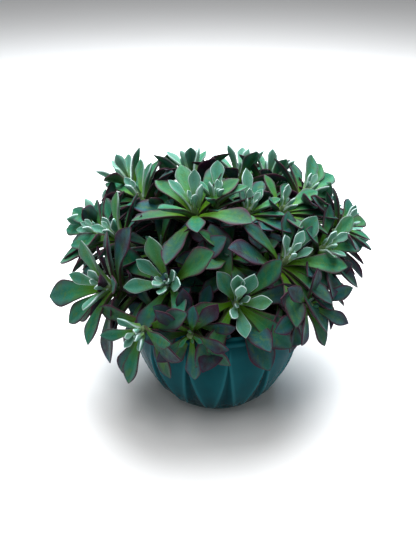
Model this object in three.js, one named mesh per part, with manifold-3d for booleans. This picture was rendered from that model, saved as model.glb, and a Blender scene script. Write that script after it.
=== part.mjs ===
// Potted echeveria: a glazed bowl planter, its potting mix and a clump of leafy shoots.
// Millimetres, +Z up, -Y towards the front. The origin is the centre of the pot's foot on the floor.

import * as THREE from 'three';
import { mergeVertices } from 'three/addons/utils/BufferGeometryUtils.js';
import Module from 'manifold-3d';

const wasm = await Module();
wasm.setup();

// ---------------------------------------------------------------- sizes
const POT_HEIGHT = 112;
const POT_RADIUS = 84.5;
const FOOT_RADIUS = 52;
const FOOT_HEIGHT = 4;
const FOOT_STEP = 2.5;         // how far the bowl overhangs its foot
const BELLY_SHARE = 0.68;      // height of the widest ring, as a share of the pot's height
const BELLY_POWER = 1.36;      // 1 is a cone, 2 a round bowl
const NECK_PULL = 1.6;         // how far the wall draws in again up to the rim
const RIM_HEIGHT = 9;          // the smooth band under the lip
const RIM_PROUD = 1.2;         // how far that band stands out from the wall
const WALL = 6;
const SOIL_DEPTH = 14;         // top of the potting mix below the rim
const SOIL_CROWN = 6;          // how much the mix heaps up in the middle

const STEM_RADIUS = 3.4;
const STEM_TAPER = 0.8;        // radius at the heart of a rosette, as a share of the one at the root
const ROOT_DEPTH = 10;         // how deep a stem goes into the potting mix
const ROOT_START = 0.05;       // distance of a root from the axis in pot radii, for a shoot of no reach
const ROOT_SPREAD = 0.47;      // and how much further out it is for each pot radius of reach
const LEAFY_SHARE = 0.26;      // length of stem that carries leaves, in leaf lengths
const LEAF_SLIMNESS = 0.36;    // width of a grown leaf as a share of its length
const LEAF_THICKNESS = 3.4;
const CLEARANCE = 0.35;        // between pieces that lie against each other

const GOLDEN_ANGLE = 137.5;
const POT_SIDES = 48;
const SOIL_SIDES = 24;
const STEM_SIDES = 5;
const STEM_STEPS = 5;
const FINEST_DETAIL = 0.03;

// The shoots that face the front and the sides, leaf by leaf.
// around: direction from the pot's axis, 0 to the right and -90 to the front; reach: distance of the
// rosette's heart from the axis, in pot radii; rise: its height above the rim; facing and lean: the
// direction in which the rosette tilts, and how far from upright.
// leaves: for each leaf its direction round the heart, its age (0 is a young upright leaf, 1 an old
// spreading one) and its length.
const FRONT_SHOOTS = [
  {
    around: -76, reach: 0.86, rise: 32, facing: -80, lean: 40,
    leaves: [
      [98, 0.22, 32], [-115, 0.3, 27], [108, 0.45, 38], [76, 0.5, 40], [10, 0.5, 34], [-76, 0.5, 37],
      [134, 0.62, 46], [197, 0.85, 50], [50, 0.85, 54], [-31, 0.85, 62], [-114, 0.85, 50],
      [19, 1, 58], [-56, 1, 66], [-116, 1, 64], [-24, 1.05, 70],
    ],
  },
  {
    around: -129, reach: 0.83, rise: 42, facing: -108, lean: 36,
    leaves: [
      [-125, 0.18, 24], [-88, 0.35, 27], [5, 0.42, 28], [-30, 0.45, 36], [125, 0.5, 36], [182, 0.55, 40],
      [86, 0.6, 46], [-60, 0.68, 44], [137, 0.9, 62], [8, 0.9, 64], [-132, 0.9, 50], [164, 1, 50],
      [-112, 1.1, 58],
    ],
  },
  {
    around: -31, reach: 0.86, rise: 58, facing: -55, lean: 26,
    leaves: [
      [72, 0.25, 28], [140, 0.3, 24], [15, 0.4, 26], [74, 0.55, 48], [8, 0.75, 56], [110, 0.8, 46],
      [-10, 0.85, 58], [-36, 0.88, 56], [168, 0.9, 54], [-28, 1, 60], [-40, 1, 70], [-72, 1.05, 60],
    ],
  },
  {
    around: -157, reach: 1.32, rise: 30, facing: -116, lean: 40,
    leaves: [
      [90, 0.18, 22], [-105, 0.42, 36], [138, 0.5, 36], [60, 0.62, 50], [157, 0.8, 70], [186, 0.8, 58],
      [236, 0.85, 54], [118, 0.9, 54], [-30, 0.9, 48], [40, 0.95, 52], [178, 0.94, 60], [135, 1.05, 56],
      [236, 1.05, 66],
    ],
  },
  {
    around: -166, reach: 0.26, rise: 92, facing: -100, lean: 10,
    leaves: [
      [-30, 0.12, 26], [82, 0.35, 34], [150, 0.45, 34], [110, 0.6, 46], [58, 0.75, 56], [140, 0.8, 50],
      [24, 0.85, 50], [-86, 0.85, 46], [226, 0.7, 46], [194, 0.95, 56], [-35, 0.95, 60], [126, 0.98, 50],
      [248, 1.1, 64],
    ],
  },
  {
    around: -129, reach: 1.27, rise: 9, facing: -112, lean: 64,
    leaves: [
      [30, 0.12, 16], [-140, 0.35, 20], [-60, 0.35, 22], [95, 0.45, 26], [168, 0.7, 38], [-19, 0.8, 42],
      [-122, 0.8, 50], [-42, 0.95, 50], [-141, 1, 52],
    ],
  },
  {
    around: 11, reach: 0.34, rise: 83, facing: -50, lean: 14,
    leaves: [
      [40, 0.12, 18], [150, 0.35, 22], [112, 0.4, 38], [50, 0.5, 24], [0, 0.62, 32], [-95, 0.8, 34],
      [160, 0.8, 36], [-22, 0.85, 36], [75, 0.9, 44], [-38, 0.95, 46],
    ],
  },
  {
    around: 15, reach: 0.74, rise: 80, facing: -30, lean: 18,
    leaves: [
      [100, 0.2, 22], [-50, 0.35, 20], [38, 0.65, 44], [224, 0.7, 32], [20, 0.75, 44], [85, 0.75, 38],
      [140, 0.75, 38], [2, 0.85, 54], [-30, 0.95, 48], [-78, 0.95, 46],
    ],
  },
  {
    around: -7, reach: 1.16, rise: 54, facing: -45, lean: 34,
    leaves: [
      [40, 0.3, 26], [-40, 0.45, 24], [66, 0.6, 44], [-100, 0.6, 34], [22, 0.75, 44], [200, 0.8, 42],
      [104, 0.85, 46], [-20, 0.95, 50], [-70, 0.95, 50],
    ],
  },
  {
    around: 9, reach: 1.44, rise: 60, facing: -20, lean: 40,
    leaves: [
      [110, 0.3, 22], [-4, 0.75, 32], [160, 0.8, 38], [88, 0.8, 38], [48, 0.85, 42], [-40, 0.85, 36],
      [-90, 0.95, 44],
    ],
  },
  {
    around: 31, reach: 1.19, rise: 78, facing: -5, lean: 26,
    leaves: [
      [70, 0.15, 20], [-40, 0.4, 26], [98, 0.6, 50], [76, 0.62, 52], [60, 0.68, 54], [170, 0.8, 46],
      [10, 0.85, 48], [46, 0.85, 54], [112, 0.85, 54], [-80, 0.9, 46], [-12, 0.92, 46], [34, 0.95, 50],
      [124, 1, 56],
    ],
  },
  {
    around: 148, reach: 1.08, rise: 76, facing: 190, lean: 24,
    leaves: [
      [118, 0.35, 24], [10, 0.5, 36], [66, 0.55, 42], [48, 0.7, 46], [134, 0.7, 54], [88, 0.8, 52],
      [118, 0.85, 50], [-90, 0.85, 42], [150, 0.88, 46], [-130, 0.9, 42], [112, 0.92, 54],
      [-30, 0.95, 54], [190, 0.95, 46], [98, 1, 54],
    ],
  },
  {
    around: 179, reach: 1.15, rise: 59, facing: 222, lean: 30,
    leaves: [
      [100, 0.15, 18], [-30, 0.42, 28], [150, 0.45, 26], [45, 0.6, 42], [84, 0.72, 46],
      [165, 0.72, 52], [168, 0.84, 72], [20, 0.85, 46], [262, 0.85, 42], [118, 0.88, 48], [186, 0.9, 50],
      [-60, 0.9, 34], [-20, 0.92, 46],
    ],
  },
  {
    around: 169, reach: 1.40, rise: 50, facing: 205, lean: 42,
    leaves: [
      [150, 0.2, 18], [165, 0.45, 24], [115, 0.65, 46], [140, 0.72, 50], [106, 0.8, 46], [80, 0.8, 42],
      [152, 0.85, 48], [60, 0.85, 42], [128, 0.9, 48], [190, 0.9, 48], [-80, 0.9, 42], [225, 1, 50],
    ],
  },
  {
    around: 100, reach: 0.07, rise: 94, facing: -60, lean: 8,
    leaves: [
      [100, 0.15, 16], [-60, 0.25, 16], [95, 0.5, 36], [170, 0.5, 24], [5, 0.6, 30], [-110, 0.7, 26],
    ],
  },
];

// The shoots behind and between them: spin is the direction of the youngest leaf, and each further
// leaf grows a golden angle on, older and longer, up to the full length. A shaded shoot has no
// leaves younger than its own age.
const BACK_SHOOTS = [
  { around: 90, reach: 0.33, rise: 76, facing: 90, lean: 6, spin: 170, count: 8, length: 46 },
  { around: 137, reach: 1.48, rise: 74, facing: 137, lean: 40, spin: 150, count: 8, length: 48 },
  { around: 109, reach: 1.00, rise: 84, facing: 109, lean: 24, spin: 230, count: 9, length: 52 },
  { around: 75, reach: 0.98, rise: 84, facing: 75, lean: 24, spin: 310, count: 9, length: 50 },
  { around: 57, reach: 1.12, rise: 80, facing: 57, lean: 30, spin: 94, count: 8, length: 48 },
  { around: 90, reach: 1.42, rise: 46, facing: 90, lean: 52, spin: 0, count: 9, length: 60 },
  { around: 115, reach: 1.45, rise: 46, facing: 115, lean: 52, spin: 190, count: 9, length: 58 },
  { around: 65, reach: 1.45, rise: 44, facing: 65, lean: 52, spin: 110, count: 9, length: 58 },
  { around: 40, reach: 1.54, rise: 40, facing: 40, lean: 56, spin: 60, count: 8, length: 52 },
  { around: 153, reach: 1.56, rise: 36, facing: 153, lean: 58, spin: 330, count: 7, length: 54 },
  { around: 24, reach: 1.54, rise: 34, facing: 24, lean: 58, spin: 240, count: 7, length: 54 },
  { around: 100, reach: 1.22, rise: 14, facing: 100, lean: 74, spin: 40, count: 7, length: 54 },
  { around: 130, reach: 1.24, rise: 14, facing: 130, lean: 74, spin: 160, count: 7, length: 54 },
  { around: 49, reach: 1.24, rise: 14, facing: 49, lean: 74, spin: 290, count: 7, length: 54 },
  { around: -36, reach: 1.20, rise: 22, facing: -60, lean: 56, spin: 350, count: 8, length: 48, age: 0.6 },
  { around: -170, reach: 1.24, rise: 13, facing: -172, lean: 72, spin: 120, count: 7, length: 50, age: 0.5 },
  { around: 1, reach: 1.26, rise: 13, facing: 1, lean: 72, spin: 220, count: 7, length: 50, age: 0.5 },
  { around: -104, reach: 1.12, rise: 12, facing: -100, lean: 60, spin: 70, count: 7, length: 44, age: 0.65 },
  { around: -70, reach: 0.38, rise: 56, facing: -70, lean: 14, spin: 180, count: 8, length: 50, age: 0.45 },
  { around: 144, reach: 0.66, rise: 64, facing: 144, lean: 18, spin: 340, count: 8, length: 48, age: 0.3 },
  { around: 48, reach: 0.68, rise: 66, facing: 48, lean: 20, spin: 0, count: 8, length: 48, age: 0.3 },
  { around: -168, reach: 0.66, rise: 54, facing: -168, lean: 20, spin: 250, count: 8, length: 50, age: 0.4 },
];
const SHOOTS = [...FRONT_SHOOTS, ...BACK_SHOOTS];

// ---------------------------------------------------------------- helpers
const radians = THREE.MathUtils.degToRad;
const blend = THREE.MathUtils.lerp;

// A repeatable number from 0 to 1 that differs from shoot to shoot, leaf to leaf and use to use.
function whim(shoot, leaf, use) {
  const wave = Math.sin(shoot * 12.9898 + leaf * 78.233 + use * 37.719) * 43758.5453;
  return wave - Math.floor(wave);
}

// The same geometry with every vertex moved to where `place` puts it.
function formed(geometry, place) {
  const position = geometry.attributes.position;
  const vertex = new THREE.Vector3();
  for (let i = 0; i < position.count; i += 1) {
    vertex.fromBufferAttribute(position, i);
    place(vertex);
    position.setXYZ(i, vertex.x, vertex.y, vertex.z);
  }
  return geometry;
}

// A solid of a closed geometry, without the seams and collapsed triangles of its construction.
function solid(geometry) {
  geometry.deleteAttribute('normal');
  geometry.deleteAttribute('uv');
  const welded = mergeVertices(geometry, 1e-4);
  const corners = [];
  for (let i = 0; i < welded.index.count; i += 3) {
    const [a, b, c] = [0, 1, 2].map((k) => welded.index.getX(i + k));
    if (a !== b && b !== c && c !== a) corners.push(a, b, c);
  }
  const mesh = new wasm.Mesh({
    numProp: 3,
    vertProperties: new Float32Array(welded.attributes.position.array),
    triVerts: new Uint32Array(corners),
  });
  return new wasm.Manifold(mesh);
}

function joined(solids) {
  return solids.reduce((whole, piece) => whole.add(piece));
}

function near(a, b) {
  const [p, q] = [a.boundingBox(), b.boundingBox()];
  return [0, 1, 2].every((k) => p.min[k] < q.max[k] && q.min[k] < p.max[k]);
}

// `body` with room left for each of `others` that comes near it.
function without(body, others) {
  return others.filter((other) => near(body, other)).reduce((rest, other) => rest.subtract(other), body);
}

function largestPiece(body) {
  const pieces = body.simplify(FINEST_DETAIL).decompose();
  return pieces.reduce((best, piece) => (piece.volume() > best.volume() ? piece : best));
}

function lathe(outline, sides) {
  const points = outline.map(([radius, height]) => new THREE.Vector2(radius, height));
  return new THREE.LatheGeometry(points, sides).rotateX(Math.PI / 2);
}

// ---------------------------------------------------------------- pot and potting mix
const BELLY_HEIGHT = BELLY_SHARE * POT_HEIGHT;
const BOWL_START = FOOT_RADIUS + FOOT_STEP;

// Radius of the bowl's outside at a height: swelling up to the belly, drawing in a little above it.
function bowlRadius(height) {
  if (height > BELLY_HEIGHT) {
    const climb = (height - BELLY_HEIGHT) / (POT_HEIGHT - BELLY_HEIGHT);
    return POT_RADIUS - NECK_PULL * climb ** 2;
  }
  const drop = (BELLY_HEIGHT - height) / (BELLY_HEIGHT - FOOT_HEIGHT);
  const swell = (1 - drop ** BELLY_POWER) ** (1 / BELLY_POWER);
  return blend(BOWL_START, POT_RADIUS, swell);
}

// Outline of the pot's wall and floor; `grow` thickens it all round.
function potOutline(grow) {
  const bandFoot = POT_HEIGHT - RIM_HEIGHT;
  const outline = [[0, 0 - grow], [FOOT_RADIUS + grow, 0 - grow], [FOOT_RADIUS + grow, FOOT_HEIGHT]];
  const steps = 8;
  for (let i = 0; i <= steps; i += 1) {
    const height = blend(FOOT_HEIGHT, bandFoot, (i / steps) ** 1.3);
    outline.push([bowlRadius(height) + grow, height]);
  }
  const lip = bowlRadius(POT_HEIGHT);
  outline.push([bowlRadius(bandFoot) + RIM_PROUD + grow, bandFoot + 1 - grow]);
  outline.push([lip + RIM_PROUD + grow, POT_HEIGHT - 2.5]);
  outline.push([lip + grow, POT_HEIGHT + grow]);
  outline.push([lip - WALL * 0.7 - grow, POT_HEIGHT + grow]);
  outline.push([lip - WALL - grow, POT_HEIGHT - 2.5]);
  return outline.concat(innerOutline(grow));
}

// The pot's inside, from under the lip down to the middle of its floor.
function innerOutline(grow) {
  const outline = [];
  const steps = 4;
  for (let i = 0; i <= steps; i += 1) {
    const height = blend(POT_HEIGHT - RIM_HEIGHT, WALL + FOOT_HEIGHT, i / steps);
    outline.push([bowlRadius(height) - WALL - grow, height + grow]);
  }
  outline.push([0, WALL + FOOT_HEIGHT + grow]);
  return outline;
}

function soilTop(radius) {
  const edge = bowlRadius(POT_HEIGHT - SOIL_DEPTH) - WALL;
  return POT_HEIGHT - SOIL_DEPTH + SOIL_CROWN * (1 - (radius / edge) ** 2);
}

// Outline of the potting mix inside the wall; `grow` raises its surface only.
function soilOutline(grow) {
  const edge = bowlRadius(POT_HEIGHT - SOIL_DEPTH) - WALL - CLEARANCE;
  const wall = innerOutline(CLEARANCE).filter(([, height]) => height < POT_HEIGHT - SOIL_DEPTH - 1);
  const surface = [1, 0.75, 0.5, 0.25, 0].map((share) => [edge * share, soilTop(edge * share) + grow]);
  return wall.reverse().concat(surface);
}

// ---------------------------------------------------------------- shoots
// Rings along a leaf: how far along, how wide and how thick it is there.
const LEAF_RINGS = [
  { along: 0, width: 0.2, thickness: 0.9 },
  { along: 0.7, width: 1, thickness: 0.8 },
  { along: 1, width: 0, thickness: 0 },
];
const LEAF_ROOT = 0.5;         // where a leaf starts inside its stem, in stem radii
const CHANNEL = 0.16;          // how far the margins stand above the midrib, in leaf widths

// How far the sharp parts of a leaf must move out for all its skin to move out by one.
const ROOM_AT_FACE = 2;
const ROOM_AT_MARGIN = 5;
const ROOM_OVER_MARGIN = 1.6;
const ROOM_AT_TIP = 14;

// A spoon-shaped leaf rising from the axis of its rosette, built outward along +X with +Z the axis.
// start: angle from the axis at its base; bend: how much further it arches over by its tip;
// room: how far its skin is moved outward, to leave room for the leaf beside its neighbours.
function leafGeometry({ length, width, thickness, start, bend, room }) {
  const last = LEAF_RINGS.length - 1;
  const midrib = (along) => {
    const angle = start + bend * along * 0.5;
    return new THREE.Vector3(Math.sin(angle), 0, Math.cos(angle)).multiplyScalar(along * length);
  };
  const tip = midrib(1);
  const tipward = tip.clone().sub(midrib(LEAF_RINGS[last - 1].along)).normalize();
  return formed(new THREE.ConeGeometry(1, 1, 4, last), (vertex) => {
    const step = Math.round((vertex.y + 0.5) * last);
    if (step === last) {
      vertex.copy(tip).addScaledVector(tipward, room * ROOM_AT_TIP);
      return;
    }
    const ring = LEAF_RINGS[step];
    const side = vertex.x / (1 - step / last);
    const face = vertex.z / (1 - step / last);
    const tilt = start + bend * ring.along;
    const half = ring.width * width / 2 + room * ROOM_AT_MARGIN;
    const depth = ring.thickness * thickness / 2 + room * ROOM_AT_FACE;
    const rise = ring.width * width * CHANNEL + room * ROOM_OVER_MARGIN;
    const lift = face * depth + Math.abs(side) * rise;
    vertex.copy(midrib(ring.along));
    vertex.x -= Math.cos(tilt) * lift;
    vertex.y -= side * half;
    vertex.z += Math.sin(tilt) * lift;
  });
}

// The line of a shoot's stem: straight up out of the mix, then arching over to its rosette's heart.
function stemCurve(shoot) {
  const direction = (degrees) => new THREE.Vector3(Math.cos(radians(degrees)), Math.sin(radians(degrees)), 0);
  const lean = radians(shoot.lean);
  const outward = direction(shoot.around);
  const axis = direction(shoot.facing).multiplyScalar(Math.sin(lean)).setZ(Math.cos(lean));
  const heart = outward.clone().multiplyScalar(shoot.reach * POT_RADIUS).setZ(POT_HEIGHT + shoot.rise);
  const rootReach = POT_RADIUS * (ROOT_START + ROOT_SPREAD * shoot.reach);
  const root = outward.clone().multiplyScalar(rootReach).setZ(soilTop(rootReach) - ROOT_DEPTH);
  const climb = new THREE.Vector3(0, 0, 0.45 * (heart.z - root.z) + 22);
  const approach = axis.multiplyScalar(-0.3 * root.distanceTo(heart));
  return new THREE.CubicBezierCurve3(root, climb.add(root), approach.add(heart), heart);
}

// Where a leaf grows: a place on the stem, `below` its heart, with +Z along the stem there.
function leafFrame(curve, below) {
  const along = 1 - below / curve.getLength();
  const up = new THREE.Vector3(0, 0, 1);
  const facing = new THREE.Quaternion().setFromUnitVectors(up, curve.getTangentAt(along));
  return new THREE.Matrix4().makeRotationFromQuaternion(facing).setPosition(curve.getPointAt(along));
}

function stemGeometry(shoot, grow) {
  const curve = stemCurve(shoot);
  const frames = curve.computeFrenetFrames(STEM_STEPS);
  const stem = new THREE.CylinderGeometry(1, 1, 1, STEM_SIDES, STEM_STEPS);
  return formed(stem, (vertex) => {
    const along = vertex.y + 0.5;
    const step = Math.round(along * STEM_STEPS);
    const radius = STEM_RADIUS * blend(1, STEM_TAPER, along) + grow;
    const centre = curve.getPointAt(along).addScaledVector(frames.tangents[step], (along - 0.5) * 2 * grow);
    const { x, z } = vertex;
    vertex.copy(centre);
    vertex.addScaledVector(frames.normals[step], z * radius);
    vertex.addScaledVector(frames.binormals[step], x * radius);
  });
}

// The leaves of a shoot as [direction, age, length], from the youngest to the oldest.
function leavesOf(shoot, index) {
  if (shoot.leaves) return shoot.leaves;
  return Array.from({ length: shoot.count }, (_, leaf) => {
    const age = blend(shoot.age ?? 0, 1, (leaf + 1) / shoot.count);
    const turn = shoot.spin + leaf * GOLDEN_ANGLE + blend(-9, 9, whim(index, leaf, 4));
    return [turn, age, shoot.length * blend(0.42, 1, age ** 0.7) * blend(0.9, 1.06, whim(index, leaf, 1))];
  });
}

function leafSolids(shoot, index, room) {
  const curve = stemCurve(shoot);
  const leaves = leavesOf(shoot, index);
  const longest = Math.max(...leaves.map(([, , length]) => length));
  return joined(leaves.map(([turn, age, length], leaf) => {
    const geometry = leafGeometry({
      length,
      width: length * blend(LEAF_SLIMNESS + 0.08, LEAF_SLIMNESS, age),
      thickness: LEAF_THICKNESS * blend(0.8, 1.05, age),
      start: radians(blend(6, 60, age) + blend(-5, 5, whim(index, leaf, 2))),
      bend: radians(blend(16, 40, age) + blend(-9, 9, whim(index, leaf, 3))),
      room,
    });
    geometry.translate(STEM_RADIUS * LEAF_ROOT, 0, 0);
    geometry.rotateZ(radians(turn));
    geometry.applyMatrix4(leafFrame(curve, age * longest * LEAFY_SHARE));
    return solid(geometry);
  }));
}

// ---------------------------------------------------------------- assembly
const pot = solid(lathe(potOutline(0), POT_SIDES));
const potRoom = solid(lathe(potOutline(CLEARANCE), POT_SIDES));
const soilRoom = solid(lathe(soilOutline(CLEARANCE), SOIL_SIDES));
const stems = SHOOTS.map((shoot) => solid(stemGeometry(shoot, 0)));
const stemRooms = SHOOTS.map((shoot) => solid(stemGeometry(shoot, CLEARANCE)));
const leafRooms = SHOOTS.map((shoot, index) => leafSolids(shoot, index, CLEARANCE));
const soil = without(solid(lathe(soilOutline(0), SOIL_SIDES)), stemRooms);

const shoots = SHOOTS.map((shoot, index) => {
  const otherStems = stemRooms.filter((room, other) => other !== index);
  const elderLeaves = leafRooms.slice(0, index);
  const room = [potRoom, soilRoom, ...otherStems, ...elderLeaves];
  const leaves = without(leafSolids(shoot, index, 0), room);
  return largestPiece(leaves.add(stems[index]));
});

const POT_LOOK = { color: 0x0c474c, roughness: 0.22, metalness: 0 };
const SOIL_LOOK = { color: 0x2a1f18, roughness: 0.95, metalness: 0 };
const LEAF_LOOK = { color: 0x6f9683, roughness: 0.6, metalness: 0 };

const group = new THREE.Group();
group.name = 'potted_echeveria';

function addPiece(name, body, look) {
  const mesh = body.getMesh();
  const geometry = new THREE.BufferGeometry();
  geometry.setAttribute('position', new THREE.BufferAttribute(new Float32Array(mesh.vertProperties), 3));
  geometry.setIndex(new THREE.BufferAttribute(new Uint32Array(mesh.triVerts), 1));
  geometry.computeVertexNormals();
  const piece = new THREE.Mesh(geometry, new THREE.MeshStandardMaterial(look));
  piece.name = name;
  group.add(piece);
}

addPiece('pot', pot, POT_LOOK);
addPiece('potting_mix', soil, SOIL_LOOK);
shoots.forEach((body, index) => {
  addPiece(`shoot_${String(index + 1).padStart(2, '0')}`, body, LEAF_LOOK);
});

export default group;
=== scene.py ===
# The finished looks of a potted echeveria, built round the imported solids. Metres, in their frame:
# +Z up, -Y towards the front, the origin at the centre of the pot's foot.
import math

import bpy
import numpy as np
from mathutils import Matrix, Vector


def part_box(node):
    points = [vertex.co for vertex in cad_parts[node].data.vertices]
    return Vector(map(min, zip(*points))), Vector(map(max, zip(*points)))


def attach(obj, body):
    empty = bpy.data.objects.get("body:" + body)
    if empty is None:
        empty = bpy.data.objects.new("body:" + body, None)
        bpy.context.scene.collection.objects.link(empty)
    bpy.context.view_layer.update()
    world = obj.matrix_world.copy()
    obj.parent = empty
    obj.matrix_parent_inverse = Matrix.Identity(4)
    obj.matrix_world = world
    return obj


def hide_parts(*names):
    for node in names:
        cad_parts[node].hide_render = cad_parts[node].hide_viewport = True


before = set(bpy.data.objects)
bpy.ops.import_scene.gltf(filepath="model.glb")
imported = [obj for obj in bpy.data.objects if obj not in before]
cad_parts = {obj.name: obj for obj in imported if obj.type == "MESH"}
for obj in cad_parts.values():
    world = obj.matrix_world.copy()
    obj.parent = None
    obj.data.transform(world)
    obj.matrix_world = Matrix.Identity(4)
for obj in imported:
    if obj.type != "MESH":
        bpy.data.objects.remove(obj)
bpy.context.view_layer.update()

MM = 0.001
GOLDEN_ANGLE = 137.5           # turn in degrees from one leaf to the next
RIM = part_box("pot")[1][2]      # height of the pot's rim
POT_RADIUS = 84.5 * MM

# ------------------------------------------------------------------ camera, light, floor
scene = bpy.context.scene
scene.view_settings.view_transform = "Standard"
scene.view_settings.look = "None"

CAMERA_PLACE = (0, -0.515, 0.4616)
CAMERA_TARGET = (-0.009, 0.004, 0.1197)
CAMERA_LENS = 41.8
SKY = (0.98, 0.99, 1.0)
SKY_STRENGTH = 0.25
# name, place, target, size, power, colour
LIGHTS = (
    ("key", (0.02, 0.48, 1.14), (0, 0, 0.10), 1.25, 39.0, (0.96, 0.98, 1.0)),
    ("front", (-0.22, -0.36, 1.30), (0, 0, 0.12), 0.75, 7.6, (1.0, 0.99, 0.98)),
    ("back", (0.25, 0.95, 0.75), (0, 0, 0.16), 0.5, 4.0, (0.72, 0.88, 1.0)),
)


def aim(obj, target):
    obj.rotation_euler = (Vector(target) - obj.location).to_track_quat("-Z", "Y").to_euler()


def add_camera():
    data = bpy.data.cameras.new("camera")
    data.sensor_width = 36
    data.lens = CAMERA_LENS
    camera = bpy.data.objects.new("camera", data)
    scene.collection.objects.link(camera)
    camera.location = CAMERA_PLACE
    aim(camera, CAMERA_TARGET)
    scene.camera = camera


def add_area(name, location, target, size, power, colour):
    data = bpy.data.lights.new(name, "AREA")
    data.shape = "DISK"
    data.size = size
    data.energy = power
    data.color = colour
    light = bpy.data.objects.new(name, data)
    scene.collection.objects.link(light)
    light.location = location
    aim(light, target)


def add_world():
    world = bpy.data.worlds.new("studio")
    scene.world = world
    world.use_nodes = True
    background = world.node_tree.nodes["Background"]
    background.inputs["Color"].default_value = (*SKY, 1)
    background.inputs["Strength"].default_value = SKY_STRENGTH


add_camera()
add_world()
for lamp in LIGHTS:
    add_area(*lamp)


# ------------------------------------------------------------------ material helpers
class Nodes:
    """A material's node tree, with short ways to add what the materials here need."""

    def __init__(self, name, **fixed):
        self.material = bpy.data.materials.new(name)
        self.material.use_nodes = True
        self.tree = self.material.node_tree
        self.shader = self.tree.nodes["Principled BSDF"]
        for socket, value in fixed.items():
            self.shader.inputs[socket.replace("_", " ")].default_value = value

    def add(self, kind, **values):
        node = self.tree.nodes.new(kind)
        for key, value in values.items():
            setattr(node, key, value)
        return node

    def link(self, source, target):
        self.tree.links.new(source, target)

    def put(self, value, socket):
        """Set a socket from a number, a colour or another node's output."""
        if isinstance(value, tuple):
            socket.default_value = (*value, 1)[: len(socket.default_value)]
        elif isinstance(value, (int, float)):
            socket.default_value = value
        else:
            self.link(value, socket)

    def attribute(self, name):
        return self.add("ShaderNodeAttribute", attribute_name=name).outputs["Fac"]

    def noise(self, scale, detail=3.0, rough=0.55, stretch=None):
        node = self.add("ShaderNodeTexNoise")
        node.inputs["Scale"].default_value = scale
        node.inputs["Detail"].default_value = detail
        node.inputs["Roughness"].default_value = rough
        place = self.add("ShaderNodeTexCoord").outputs["Object"]
        if stretch:
            mapping = self.add("ShaderNodeMapping")
            mapping.inputs["Scale"].default_value = stretch
            self.link(place, mapping.inputs["Vector"])
            place = mapping.outputs["Vector"]
        self.link(place, node.inputs["Vector"])
        return node.outputs["Fac"]

    def math(self, operation, a, b=0.0, clamp=False):
        node = self.add("ShaderNodeMath", operation=operation, use_clamp=clamp)
        self.put(a, node.inputs[0])
        self.put(b, node.inputs[1])
        return node.outputs[0]

    def times(self, first, *others):
        for other in others:
            first = self.math("MULTIPLY", first, other)
        return first

    def span(self, value, low, high, to_low=0.0, to_high=1.0):
        """The value eased from one range to another, and held at the ends."""
        node = self.add("ShaderNodeMapRange", interpolation_type="SMOOTHSTEP")
        self.put(value, node.inputs["Value"])
        limits = {"From Min": low, "From Max": high, "To Min": to_low, "To Max": to_high}
        for socket, number in limits.items():
            node.inputs[socket].default_value = number
        return node.outputs["Result"]

    def ramp(self, value, stops):
        node = self.add("ShaderNodeValToRGB")
        ramp = node.color_ramp
        while len(ramp.elements) < len(stops):
            ramp.elements.new(0.5)
        for element, (place, colour) in zip(ramp.elements, stops):
            element.position = place
            element.color = (*colour, 1)
        self.put(value, node.inputs["Fac"])
        return node.outputs["Color"]

    def mix(self, share, a, b, blend="MIX"):
        node = self.add("ShaderNodeMix", data_type="RGBA", blend_type=blend)
        self.put(share, node.inputs[0])
        self.put(a, node.inputs[6])
        self.put(b, node.inputs[7])
        return node.outputs[2]

    def bump(self, heights):
        """A chain of bumps, each (height, strength, distance)."""
        normal = None
        for height, strength, distance in heights:
            node = self.add("ShaderNodeBump")
            node.inputs["Strength"].default_value = strength
            node.inputs["Distance"].default_value = distance
            self.put(height, node.inputs["Height"])
            if normal is not None:
                self.link(normal, node.inputs["Normal"])
            normal = node.outputs["Normal"]
        self.link(normal, self.shader.inputs["Normal"])

    def finish(self, colour, roughness):
        self.put(colour, self.shader.inputs["Base Color"])
        self.put(roughness, self.shader.inputs["Roughness"])
        return self.material


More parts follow.
